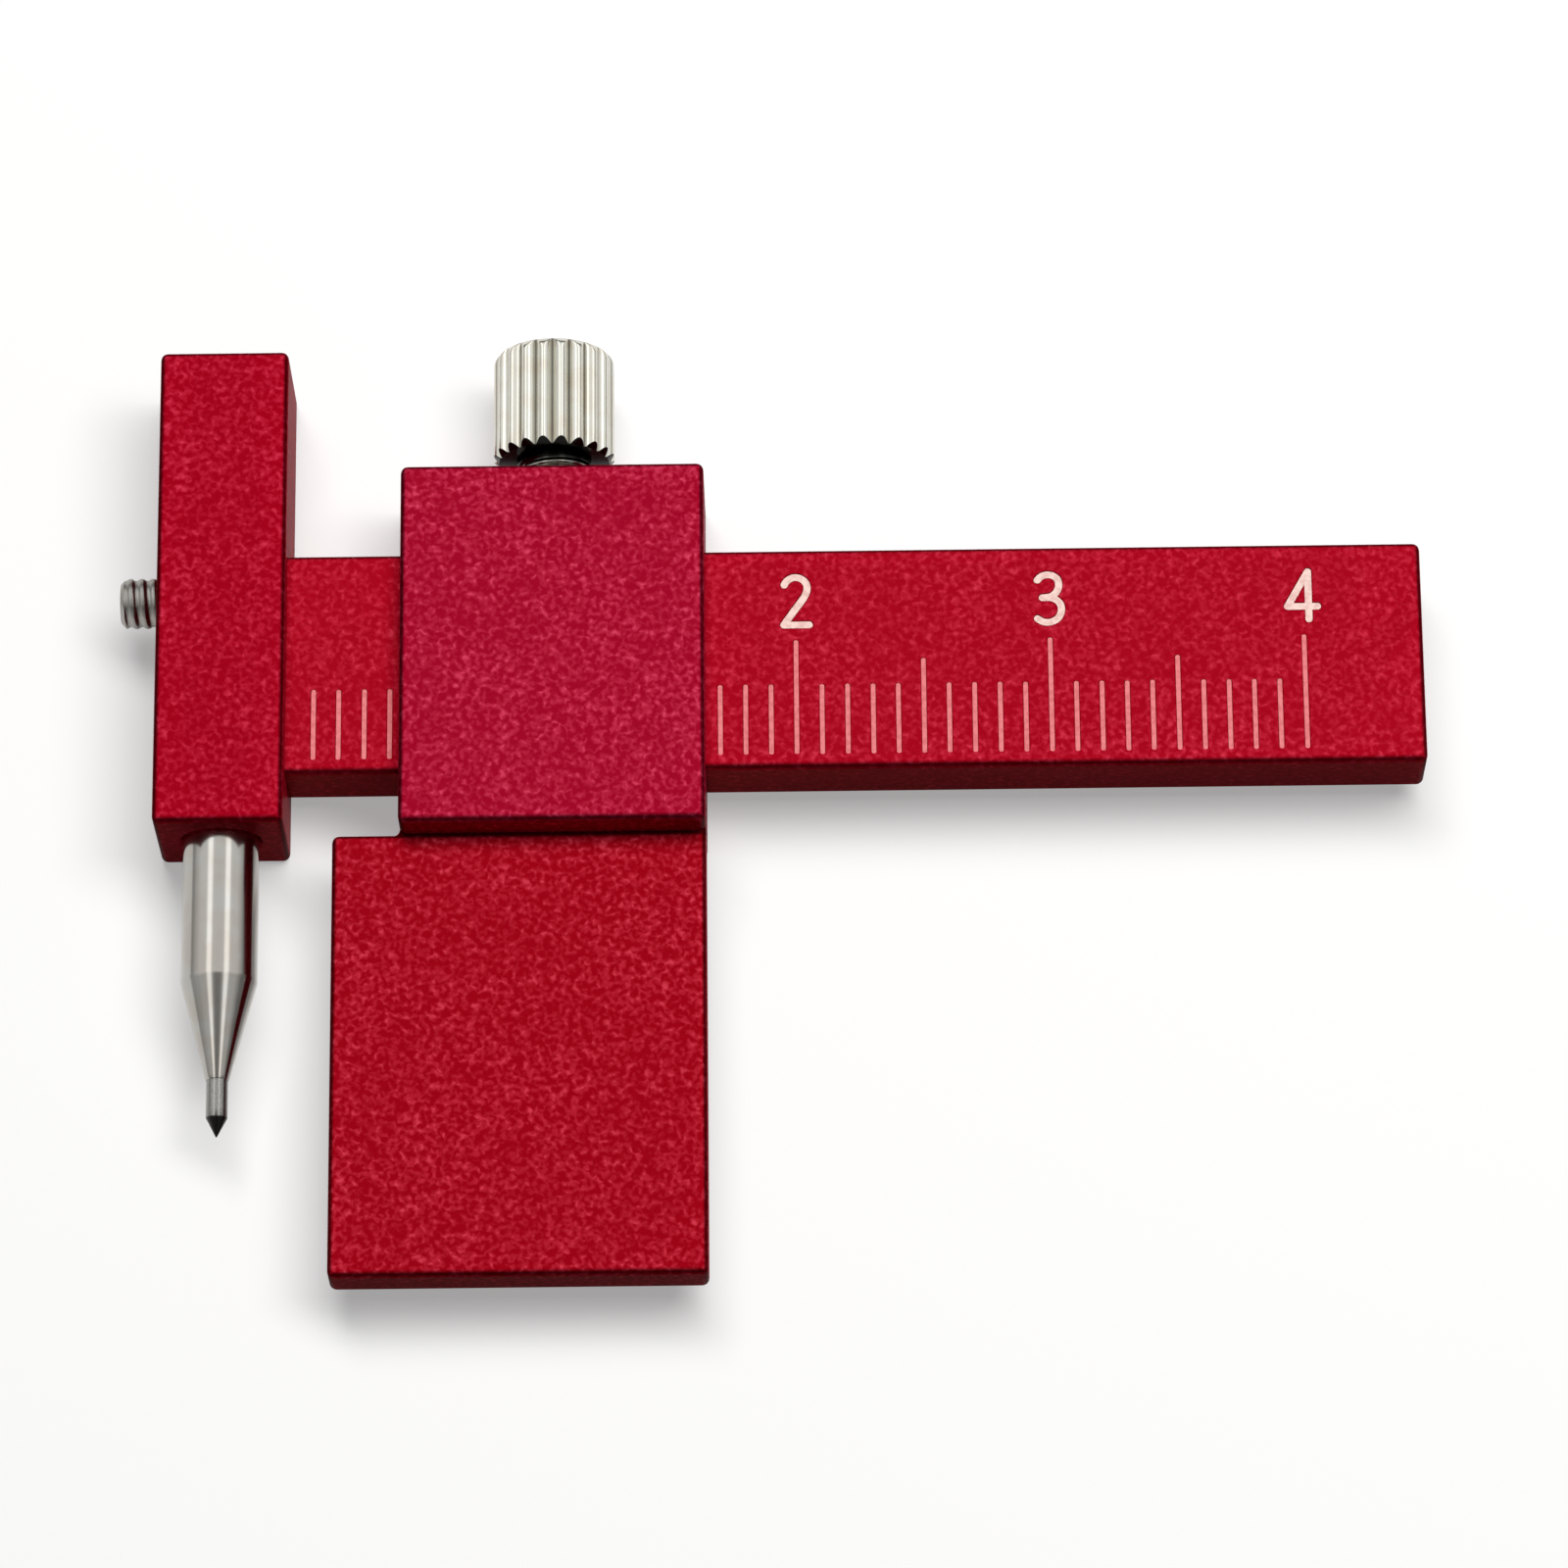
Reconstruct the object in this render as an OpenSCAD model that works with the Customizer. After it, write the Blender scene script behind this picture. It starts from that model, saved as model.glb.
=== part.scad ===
// Parallel scribing ruler: a short scale beam with a fixed head that holds a carbide scriber,
// and a slider with a fence plate that runs along the edge of the work.
// The fence's guide edge is as far left of the slider's reading edge as the scriber's axis is
// left of the scale's zero, so the scale reads the distance from the guide edge to the line.
//
// Frame: +X along the beam away from the head, +Y from the scriber's point to the thumb screw,
// +Z up out of the scale face. The tool lies on its back: the origin is under the middle of
// its bounding box, on the surface that the head and the slider rest on. Millimetres.

/* [Head block] */
// Width of the head block along the beam
block_w = 5.1; // [4.8:0.1:8]
// Height of the head block, across the beam
block_h = 19.9; // [17:0.1:30]
// Thickness of the head block
block_t = 5; // [4.4:0.1:8]
// How far the head block reaches below the beam's centre line
block_drop = 6.9; // [6:0.1:10]

/* [Beam] */
// Length of the beam from the head block's face to its free end
beam_len = 44.8; // [42:0.1:120]
// Height of the beam
beam_h = 9.2; // [7:0.1:10]
// Thickness of the beam
beam_t = 3; // [2:0.1:3.4]
// Depth of the socket in the head block that the beam's end seats in
beam_seat = 0.5; // [0.2:0.05:0.7]
// Distance from the head block's face to the scale's zero
zero_offset = 0.1; // [0:0.05:1]

/* [Slider] */
// Width of the slider along the beam
slider_w = 12; // [7:0.1:14]
// Thickness of the slider
slider_t = 5; // [4.4:0.1:8]
// Thickness of the slider's wall above the beam, which takes the thumb screw
clamp_wall = 3.35; // [2.2:0.05:6]
// Running gap between the beam and the slider's channel, on each side
slide_gap = 0.05; // [0.03:0.01:0.1]
// Height at which the slider and fence pass under the head block
pass_gap = 0.1; // [0.05:0.05:0.5]
// Scale reading at the slider's left edge
reading = 4.4; // [2:0.1:28]

/* [Fence] */
// Height of the fence plate below the slider
fence_h = 18; // [8:0.5:60]
// Thickness of the fence plate
fence_t = 2; // [1.2:0.1:3]
// Depth of the groove in the slider that holds the fence plate's tongue
tongue_h = 1.2; // [0.4:0.1:1.4]

/* [Scriber] */
// Diameter of the scriber's shank
shank_d = 3; // [2:0.1:3.4]
// Length of the scriber from its flat top to its point
scriber_len = 25; // [22:0.5:30]
// How far the point stands below the head block
scriber_reach = 12.15; // [10:0.05:14]
// Length of the shank's turned cone
cone_h = 3.5; // [2:0.1:6]
// Diameter at the small end of the cone
cone_d = 1.1; // [0.9:0.05:1.5]
// Diameter of the carbide rod
rod_d = 0.85; // [0.6:0.05:0.85]
// Length of carbide rod that stands out of the cone
rod_out = 2.65; // [1.5:0.05:4]
// Length of carbide rod that is held inside the shank
rod_seat = 3; // [1:0.1:5]
// Length of the rod's ground point
point_h = 0.8; // [0.4:0.05:1.2]
// Running gap between the shank and its bore, on each side
shank_gap = 0.03; // [0.02:0.01:0.08]
// How much further the scriber can be pushed into the head block
spare_depth = 3; // [1:0.5:3]

/* [Set screw] */
// Diameter of the set screw
set_d = 2; // [1.6:0.1:2.5]
// Length of the set screw
set_len = 2.6; // [2:0.1:5]
// Height of the set screw above the beam's centre line
set_rise = 3.2; // [0:0.1:4]
// Width across flats of the set screw's hexagon socket
set_flats = 0.9; // [0.7:0.1:1.1]
// Depth of the set screw's hexagon socket
set_socket = 1; // [0.5:0.1:1.2]
// Running gap round the set screw and the thumb screw's stud
screw_gap = 0.03; // [0.02:0.01:0.08]

/* [Thumb screw] */
// Diameter over the knurling of the thumb screw's head
knob_d = 4.9; // [4:0.1:5]
// Height of the thumb screw's head
knob_h = 4.6; // [3:0.1:8]
// Number of ridges in the straight knurling
knurl_count = 20; // [12:1:24]
// Height of each ridge
knurl_h = 0.3; // [0.15:0.05:0.35]
// Distance from the slider to the head when the screw is tight
knob_gap = 1; // [0.4:0.1:2]
// Diameter of the stud
stud_d = 3; // [2.4:0.1:3.4]
// Thickness of the pressure pad between the stud and the beam
pad_t = 0.6; // [0.5:0.05:1]
// Diameter of the stud's turned tip, which sits in the pad's cup
tip_d = 1.4; // [1:0.1:1.6]

/* [Scale] */
// Spacing of the graduations
tick_pitch = 1; // [1:0.5:2]
// Graduated length
scale_len = 40; // [20:1:40]
// Width of a graduation
tick_w = 0.18; // [0.1:0.02:0.3]
// Depth of a graduation
tick_depth = 0.08; // [0.05:0.01:0.2]
// Length of a unit graduation
tick_short = 2.95; // [1:0.05:3.5]
// Length of every fifth graduation
tick_mid = 4; // [2:0.05:4.4]
// Length of every tenth graduation
tick_long = 4.8; // [3:0.05:5.4]
// Height of the graduations' lower ends above the beam's lower edge
tick_margin = 0.55; // [0.3:0.05:1]

/* [Edges] */
// Radius on the edges of the head block, the slider, the beam and the fence
edge_r = 0.15; // [0.1:0.05:0.3]

/* [Hidden] */

red = [0.66, 0.06, 0.15];
steel = [0.76, 0.76, 0.74];
carbide = [0.2, 0.2, 0.2];
brass = [0.8, 0.65, 0.3];
mark_white = [0.95, 0.88, 0.85];

$fn = 64;
cut = 0.5;              // how far a cutter runs past the face that it opens
touch = 0.02;           // gap between faces that press on each other in use

// Places along X, from the scale's zero
block_right = -zero_offset;
block_left = block_right - block_w;
scriber_x = block_right - block_w / 2;
set_right = scriber_x - shank_d / 2 - touch;
set_left = set_right - set_len;
beam_right = block_right + beam_len;
slider_left = reading;
slider_right = slider_left + slider_w;
thumb_x = slider_left + slider_w / 2;
fence_left = slider_left + scriber_x;
fence_w = slider_right - fence_left;

// Heights along Y, from the beam's centre line
block_bottom = -block_drop;
block_top = block_bottom + block_h;
slider_bottom = block_bottom - pass_gap;
slider_top = beam_h / 2 + slide_gap + clamp_wall;
slider_h = slider_top - slider_bottom;
fence_bottom = slider_bottom - fence_h;
scriber_point = block_bottom - scriber_reach;
scriber_top = scriber_point + scriber_len;
rod_end = scriber_point + rod_out;
cone_top = rod_end + cone_h;
bore_top = scriber_top + spare_depth;
knob_bottom = slider_top + knob_gap;
knob_top = knob_bottom + knob_h;
pad_bottom = beam_h / 2 + touch;
pad_top = pad_bottom + pad_t;
tick_bottom = -beam_h / 2 + tick_margin;

// The tool's bounding box sets the origin
left_end = min(set_left, block_left);
right_end = max(beam_right, slider_right);
top_end = max(knob_top, block_top);
bottom_end = min(fence_bottom, scriber_point);
half_t = max(block_t, slider_t) / 2;

// Details that follow from a piece's size
shank_chamfer = 0.1 * shank_d;
set_chamfer = 0.1 * set_d;
knob_round = 0.5;
knob_foot_bevel = 0.2;
knob_core_r = knob_d / 2 - knurl_h;
ridge_r = 1.1 * knurl_h;
ridge_step = 360 / knurl_count;
stud_end_bevel = 0.2;
pad_gap = 0.1;
cup_depth = pad_t / 2;
hex_corner = 1 / cos(30);

// Moves a shape from the scale's zero on the beam's centre line to the tool's own frame
module on_tool() {
    translate([-(left_end + right_end) / 2, -(top_end + bottom_end) / 2, half_t])
        children();
}

// Outline of a rectangle from corner [0, 0] with rounded corners
module rounded_outline(w, h, r) {
    translate([r, 0]) square([w - 2 * r, h]);
    translate([0, r]) square([w, h - 2 * r]);
    for (x = [r, w - r], y = [r, h - r])
        translate([x, y]) circle(r = r, $fn = 32);
}

// Block from x, y upwards and centred on the mid-plane, with every edge eased
module eased_block(x, y, w, h, t, r = edge_r) {
    translate([x, y, -t / 2])
        intersection() {
            linear_extrude(t) rounded_outline(w, h, r);
            translate([0, h, 0]) rotate([90, 0, 0])
                linear_extrude(h) rounded_outline(w, t, r);
            rotate([90, 0, 90])
                linear_extrude(w) rounded_outline(h, t, r);
        }
}

// Cylinder along +Y that starts at height y, on the axis at x
module upright(x, y, h, d) {
    translate([x, y, 0]) rotate([-90, 0, 0]) cylinder(h = h, d = d);
}

// Turned shape along +Y on the axis at x, from an outline of [radius, height] points
module turned(x, outline) {
    translate([x, 0, 0]) rotate([-90, 0, 0])
        rotate_extrude() polygon(outline);
}

// Length of the graduation that stands at a count of pitches from zero
function tick_length(i) = i % 10 == 0 ? tick_long : i % 5 == 0 ? tick_mid : tick_short;

// The graduations, as bars that reach from a depth inside the scale face up to its level
module graduations(above = 0) {
    for (i = [1:floor(scale_len / tick_pitch)])
        translate([i * tick_pitch - tick_w / 2, tick_bottom, beam_t / 2 - tick_depth])
            cube([tick_w, tick_length(i), tick_depth + above]);
}

// Flat bar that carries the graduations; its left end seats in the head block's socket
module beam() {
    color(red) on_tool()
        difference() {
            eased_block(block_right - beam_seat, -beam_h / 2, beam_len + beam_seat, beam_h, beam_t);
            graduations(above = cut);
        }
}

// Head that holds the scriber, with its bore, the set screw's hole and the beam's socket
module head_block() {
    color(red) on_tool()
        difference() {
            eased_block(block_left, block_bottom, block_w, block_h, block_t);
            upright(scriber_x, block_bottom - cut, bore_top - block_bottom + cut,
                    shank_d + 2 * shank_gap);
            translate([block_left - cut, set_rise, 0]) rotate([0, 90, 0])
                cylinder(h = scriber_x - block_left + cut, d = set_d + 2 * screw_gap);
            translate([block_right - beam_seat, -beam_h / 2, -beam_t / 2])
                cube([beam_seat + cut, beam_h, beam_t]);
        }
}

// Paint that fills the graduations
module scale_marks() {
    color(mark_white) on_tool() graduations();
}

// Steel shank of the scriber: flat top, long cone and a bore for the carbide rod
module scriber_shank() {
    color(steel) on_tool()
        turned(scriber_x, [
            [rod_d / 2, rod_end],
            [cone_d / 2, rod_end],
            [shank_d / 2, cone_top],
            [shank_d / 2, scriber_top - shank_chamfer],
            [shank_d / 2 - shank_chamfer, scriber_top],
            [0, scriber_top],
            [0, rod_end + rod_seat],
            [rod_d / 2, rod_end + rod_seat]
        ]);
}

// Carbide rod, ground to a point
module carbide_point() {
    color(carbide) on_tool()
        turned(scriber_x, [
            [0, scriber_point],
            [rod_d / 2, scriber_point + point_h],
            [rod_d / 2, rod_end + rod_seat],
            [0, rod_end + rod_seat]
        ]);
}

// Set screw that holds the scriber from the side, with a hexagon socket in its outer end
module set_screw() {
    color(steel) on_tool()
        translate([set_left, set_rise, 0]) rotate([0, 90, 0])
            difference() {
                rotate_extrude()
                    polygon([
                        [0, 0],
                        [set_d / 2 - set_chamfer, 0],
                        [set_d / 2, set_chamfer],
                        [set_d / 2, set_len - set_chamfer],
                        [set_d / 2 - set_chamfer, set_len],
                        [0, set_len]
                    ]);
                translate([0, 0, -cut])
                    cylinder(h = set_socket + cut, d = set_flats * hex_corner, $fn = 6);
            }
}

// Slider with the channel that the beam runs in, the fence's groove and the stud's hole
module slider_body() {
    channel_h = beam_h + 2 * slide_gap;
    channel_t = beam_t + 2 * slide_gap;
    color(red) on_tool()
        difference() {
            eased_block(slider_left, slider_bottom, slider_w, slider_h, slider_t);
            translate([slider_left - cut, -channel_h / 2, -channel_t / 2])
                cube([slider_w + 2 * cut, channel_h, channel_t]);
            translate([slider_left - cut, slider_bottom - cut, -fence_t / 2])
                cube([slider_w + 2 * cut, tongue_h + cut, fence_t]);
            upright(thumb_x, 0, slider_top + cut, stud_d + 2 * screw_gap);
        }
}

// Fence plate, whose tongue fills the slider's groove and whose left edge guides on the work
module fence_plate() {
    color(red) on_tool()
        union() {
            eased_block(fence_left, fence_bottom, fence_w, fence_h, fence_t);
            eased_block(slider_left, fence_bottom, slider_w, fence_h + tongue_h, fence_t);
        }
}

// Clamping screw: straight-knurled head, stud and a turned tip
module thumb_screw() {
    stud_bottom = pad_top + touch;
    tip_bottom = pad_top - cup_depth + touch;
    color(steel) on_tool()
        union() {
            intersection() {
                union() {
                    upright(thumb_x, knob_bottom, knob_h, 2 * knob_core_r);
                    for (i = [0:knurl_count - 1])
                        translate([thumb_x, knob_bottom, 0])
                            rotate([0, (i + 0.5) * ridge_step, 0])
                                translate([0, 0, knob_d / 2 - ridge_r])
                                    upright(0, 0, knob_h, 2 * ridge_r);
                }
                turned(thumb_x, [
                    [0, knob_bottom],
                    [knob_d / 2 - knob_foot_bevel, knob_bottom],
                    [knob_d / 2, knob_bottom + knob_foot_bevel],
                    for (turn = [0:30:90])
                        [knob_d / 2 - knob_round * (1 - cos(turn)),
                         knob_top - knob_round * (1 - sin(turn))],
                    [0, knob_top]
                ]);
            }
            turned(thumb_x, [
                [0, tip_bottom],
                [tip_d / 2, tip_bottom],
                [tip_d / 2, stud_bottom],
                [stud_d / 2 - stud_end_bevel, stud_bottom],
                [stud_d / 2, stud_bottom + stud_end_bevel],
                [stud_d / 2, knob_bottom],
                [0, knob_bottom]
            ]);
        }
}

// Brass pad that presses on the beam's top edge and spares it from the turning stud
module pressure_pad() {
    color(brass) on_tool()
        difference() {
            upright(thumb_x, pad_bottom, pad_t, stud_d - 2 * pad_gap);
            upright(thumb_x, pad_top - cup_depth, cup_depth + cut, tip_d + 2 * screw_gap);
        }
}

beam();
head_block();
scale_marks();
scriber_shank();
carbide_point();
set_screw();
slider_body();
fence_plate();
thumb_screw();
pressure_pad();
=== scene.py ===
# Looks of a small parallel scribing ruler: a red anodised beam with an engraved scale, a head
# that holds a carbide scriber, and a slider with a fence plate and a knurled thumb screw.
# Every shape is worked out in millimetres in the frame of the CAD part and scaled to metres
# when its piece is finished, so all finished objects sit at the origin.

import math
from collections import namedtuple
from functools import partialmethod

import bmesh
import bpy
from bpy.props import FloatProperty, FloatVectorProperty, IntProperty, PointerProperty
from mathutils import Matrix, Vector


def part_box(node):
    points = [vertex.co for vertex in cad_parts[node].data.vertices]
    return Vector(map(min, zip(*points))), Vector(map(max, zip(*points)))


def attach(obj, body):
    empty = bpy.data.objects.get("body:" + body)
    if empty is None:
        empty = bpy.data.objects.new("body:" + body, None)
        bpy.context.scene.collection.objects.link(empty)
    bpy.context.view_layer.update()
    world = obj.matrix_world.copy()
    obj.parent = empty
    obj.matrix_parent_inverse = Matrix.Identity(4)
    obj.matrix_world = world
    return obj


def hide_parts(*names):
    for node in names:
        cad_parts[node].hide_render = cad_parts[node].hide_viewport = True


bl_info = {
    "name": "Parallel scribing ruler",
    "version": (1, 0, 0),
    "blender": (4, 5, 0),
    "location": "3D View > Sidebar > Ruler",
    "description": "Builds the visible pieces of a parallel scribing ruler on its CAD frame",
    "category": "Object",
}

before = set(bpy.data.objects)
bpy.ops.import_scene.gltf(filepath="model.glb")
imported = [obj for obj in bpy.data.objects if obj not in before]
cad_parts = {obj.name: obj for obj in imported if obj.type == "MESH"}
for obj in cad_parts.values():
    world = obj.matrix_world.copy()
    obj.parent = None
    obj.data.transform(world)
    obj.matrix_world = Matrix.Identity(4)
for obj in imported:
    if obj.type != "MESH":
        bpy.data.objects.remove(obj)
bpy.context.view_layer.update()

MM = 1000.0                        # millimetres in a metre
SMOOTH_ANGLE = math.radians(32)    # edges sharper than this stay sharp
X_AXIS, Y_AXIS = (1, 0, 0), (0, 1, 0)

# Clearances of the CAD part, in millimetres
BORE_GAP = 0.03       # round the shank, the set screw and the stud
CHANNEL_GAP = 0.05    # round the beam in the slider's channel
PAD_GAP = 0.1         # between the pressure pad and the wall of its hole
PRESS_GAP = 0.02      # between the stud's shoulder and the pad
KNOB_GAP = 1.0        # between the slider and the thumb screw's head
SPARE_BORE = 3.0      # bore that is left above the scriber

PAST = 1.0            # how far a cutter runs past the face that it opens
NOWHERE = 1000.0      # a radius or height that no piece reaches
TOUCHING = 0.0005     # points nearer than this become one

Place = namedtuple("Place", "x y z")


class Box:
    """Corners, middle and size of a CAD node, in millimetres."""

    def __init__(self, node):
        self.low, self.high = (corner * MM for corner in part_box(node))
        self.mid = Place(*((a + b) / 2 for a, b in zip(self.low, self.high)))
        self.size = Place(*(b - a for a, b in zip(self.low, self.high)))


def length(name, description, millimetres):
    """A length that a user can change, kept in metres as Blender keeps it."""
    return FloatProperty(name=name, description=description, default=millimetres / MM,
                         min=0.0, precision=5, subtype="DISTANCE", unit="LENGTH")


def hue(what, colour):
    """The colour of something, which a user can change."""
    return FloatVectorProperty(name=what.capitalize(), description="Colour of the " + what,
                               default=colour, min=0.0, max=1.0, size=3, subtype="COLOR")


def amount(name, description, default):
    """A number from 0 up that a user can change."""
    return FloatProperty(name=name, description=description, default=default, min=0.0)


# Settings

class AnodisedSettings(bpy.types.PropertyGroup):
    """Edges and finish of the four anodised pieces."""
    edge_radius: length("Edge radius", "Radius on the outer edges", 0.28)
    grain_size: length("Grain size", "Size of the blasted grain", 0.225)
    grain_step: amount("Grain", "How much lighter the specks are", 0.106)
    head_colour: hue("head block", (0.327, 0.0011, 0.0104))
    beam_colour: hue("beam", (0.355, 0.0022, 0.0120))
    slider_colour: hue("slider", (0.328, 0.0028, 0.0203))
    fence_colour: hue("fence plate", (0.315, 0.0015, 0.0080))


class ScaleSettings(bpy.types.PropertyGroup):
    """The engraved scale and its paint."""
    count: IntProperty(name="Count", description="Number of graduations", default=40, min=1)
    pitch: length("Pitch", "Distance between graduations", 1.0)
    short_line: length("Unit line", "Length of a unit graduation", 2.95)
    middle_line: length("Fifth line", "Length of every fifth graduation", 4.0)
    long_line: length("Tenth line", "Length of every tenth graduation", 4.8)
    line_width: length("Line width", "Width of a graduation", 0.18)
    unevenness: length("Unevenness", "How far graduations stray from their places", 0.008)
    numeral_width: length("Numeral stroke", "Width of the numerals' strokes", 0.28)
    numeral_rise: length("Numeral rise", "Height of the numerals' feet above the middle", 1.25)
    engraving_depth: length("Engraving depth", "Depth of the grooves", 0.10)
    paint_sink: length("Paint level", "How far the paint stands below the face", 0.03)
    groove_gap: length("Groove gap", "Bare groove beside the paint", 0.035)
    line_colour: hue("graduations", (0.82, 0.235, 0.245))
    numeral_colour: hue("numerals", (0.935, 0.69, 0.62))


class SteelSettings(bpy.types.PropertyGroup):
    """The turned steel, carbide and brass pieces."""
    ridges: IntProperty(name="Ridges", description="Ridges round the thumb screw", default=20,
                        min=6, max=60)
    ridge_height: length("Ridge height", "Depth of the knurling", 0.3)
    knob_foot_bevel: length("Foot bevel", "Bevel round the knob's foot", 0.22)
    knob_top_radius: length("Top radius", "Rounding round the knob's top", 0.5)
    stud_pitch: length("Stud pitch", "Pitch of the thumb screw's thread", 0.5)
    set_pitch: length("Set screw pitch", "Pitch of the set screw's thread", 0.45)
    socket_flats: length("Socket", "Width across the set screw's socket", 0.9)
    steel_colour: hue("scriber", (0.44, 0.43, 0.405))
    screw_colour: hue("set screw", (0.3344, 0.3268, 0.3078))
    knob_colour: hue("thumb screw", (0.70, 0.69, 0.62))
    carbide_colour: hue("carbide rod", (0.275, 0.270, 0.255))
    brass_colour: hue("pressure pad", (0.62, 0.42, 0.14))


class StageSettings(bpy.types.PropertyGroup):
    """Floor, lamp and camera."""
    floor_colour: hue("floor", (0.975, 0.975, 0.975))
    floor_glow: FloatProperty(name="Floor glow", description="Share that no shadow darkens",
                              default=0.35, min=0.0, max=1.0, subtype="FACTOR")
    ambient: amount("Ambient", "Brightness of the dim light all round", 0.025)
    panel: amount("Panel", "Brightness of the overhead panel that metal shows", 1.0)
    tubes: amount("Tubes", "Brightness of the two lines in metal", 1.0)
    surround: amount("Surround", "What metal shows round the panel", 0.22)
    key_power: FloatProperty(name="Key", description="Power of the key lamp", default=2.84,
                             min=0.0, unit="POWER")
    key_reach: length("Key distance", "How far the key lamp stands off", 450.0)
    key_shift: length("Key shift", "How far the key lamp stands to the right", 80.0)
    key_lean: FloatProperty(name="Key lean", description="How far the key lamp leans back",
                            default=math.radians(18), subtype="ANGLE", unit="ROTATION")
    lens: FloatProperty(name="Lens", description="Focal length", default=173.36, min=1.0,
                        subtype="DISTANCE_CAMERA")
    eye_place: FloatVectorProperty(
        name="Camera place", description="Where the camera stands", precision=5,
        default=(0.002134, -0.101595, 0.281306), subtype="TRANSLATION", unit="LENGTH")
    eye_turn: FloatVectorProperty(
        name="Camera turn", description="How the camera is turned", subtype="EULER",
        default=[math.radians(angle) for angle in (20.191, 0.532, -0.530)], unit="ROTATION")


class RulerSettings(bpy.types.PropertyGroup):
    """All settings of the ruler."""
    anodised: PointerProperty(type=AnodisedSettings)
    scale: PointerProperty(type=ScaleSettings)
    steel: PointerProperty(type=SteelSettings)
    stage: PointerProperty(type=StageSettings)


# Node trees

class TreeMaker:
    """Adds nodes to a tree and joins them by the names or numbers of their sockets."""

    def __init__(self, tree):
        self.tree = tree

    def give(self, socket, value):
        """Links a socket to another one, or sets its value."""
        if isinstance(value, bpy.types.NodeSocket):
            self.tree.links.new(value, socket)
        else:
            socket.default_value = value

    def add(self, kind, inputs=None, **settings):
        """A new node, with its settings and with values or links for its inputs."""
        node = self.tree.nodes.new(kind)
        for name, value in settings.items():
            setattr(node, name, value)
        for name, value in (inputs or {}).items():
            self.give(node.inputs[name], value)
        return node

    def made(self, kind, inputs=None, **settings):
        """The first output of a new node."""
        return self.add(kind, inputs, **settings).outputs[0]

    def result(self, operation, *values, clamp=False):
        """Result of a Math node."""
        return self.made("ShaderNodeMath", dict(enumerate(values)), operation=operation,
                         use_clamp=clamp)

    plus = partialmethod(result, "ADD")
    minus = partialmethod(result, "SUBTRACT")
    times = partialmethod(result, "MULTIPLY")
    over = partialmethod(result, "DIVIDE")
    blend = partialmethod(result, "MULTIPLY_ADD")
    least = partialmethod(result, "MINIMUM")
    most = partialmethod(result, "MAXIMUM")
    absolute = partialmethod(result, "ABSOLUTE")

    def vector(self, operation, *values):
        """Result of a Vector Math node."""
        return self.made("ShaderNodeVectorMath", dict(enumerate(values)), operation=operation)

    def length(self, vector):
        """The length of a vector."""
        node = self.add("ShaderNodeVectorMath", {0: vector}, operation="LENGTH")
        return node.outputs["Value"]

    def scaled(self, vector, factor):
        """A vector or a colour times a number."""
        return self.made("ShaderNodeVectorMath", {0: vector, "Scale": factor},
                         operation="SCALE")

    def combine(self, x, y, z):
        """A vector from its three parts."""
        return self.made("ShaderNodeCombineXYZ", {0: x, 1: y, 2: z})

    def separate(self, vector):
        """The three parts of a vector."""
        return self.add("ShaderNodeSeparateXYZ", {0: vector}).outputs

    def ramp(self, value, low, high, to_low=0.0, to_high=1.0):
        """A value brought smoothly from one range to another."""
        return self.made("ShaderNodeMapRange", {0: value, 1: low, 2: high, 3: to_low, 4: to_high},
                         interpolation_type="SMOOTHSTEP")

    def mix(self, factor, first, second):
        """Two colours mixed. A Mix node's colours are its inputs 6 and 7."""
        node = self.add("ShaderNodeMix", {0: factor, 6: first, 7: second}, data_type="RGBA")
        return node.outputs[2]

    def noise(self, place, scale, detail, distortion=0.0):
        """A noise with so many bumps to a millimetre."""
        return self.made("ShaderNodeTexNoise", {
            "Vector": place, "Scale": scale, "Detail": detail, "Distortion": distortion})


class ShapeTree(TreeMaker):
    """A Geometry Nodes tree in the making, with counts, numbers and a material as inputs."""

    def __init__(self, name, counts, numbers):
        super().__init__(bpy.data.node_groups.new(name, "GeometryNodeTree"))
        kinds = {"Geometry": "Geometry", **dict.fromkeys(counts, "Int"),
                 **dict.fromkeys(numbers, "Float"), "Material": "Material"}
        new_socket = self.tree.interface.new_socket
        for title, kind in kinds.items():
            new_socket(title, in_out="INPUT", socket_type="NodeSocket" + kind)
        new_socket("Geometry", in_out="OUTPUT", socket_type="NodeSocketGeometry")
        self.given = self.add("NodeGroupInput").outputs

    def part(self, kind, inputs=None, **settings):
        """The first output of a new geometry node."""
        return self.made("GeometryNode" + kind, inputs, **settings)

    def close(self, geometry):
        """The tree, ended in Realize Instances and Set Material."""
        real = self.part("RealizeInstances", {"Geometry": geometry})
        self.add("NodeGroupOutput", {"Geometry": self.part("SetMaterial", {
            "Geometry": real, "Material": self.given["Material"]})})
        return self.tree


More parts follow.
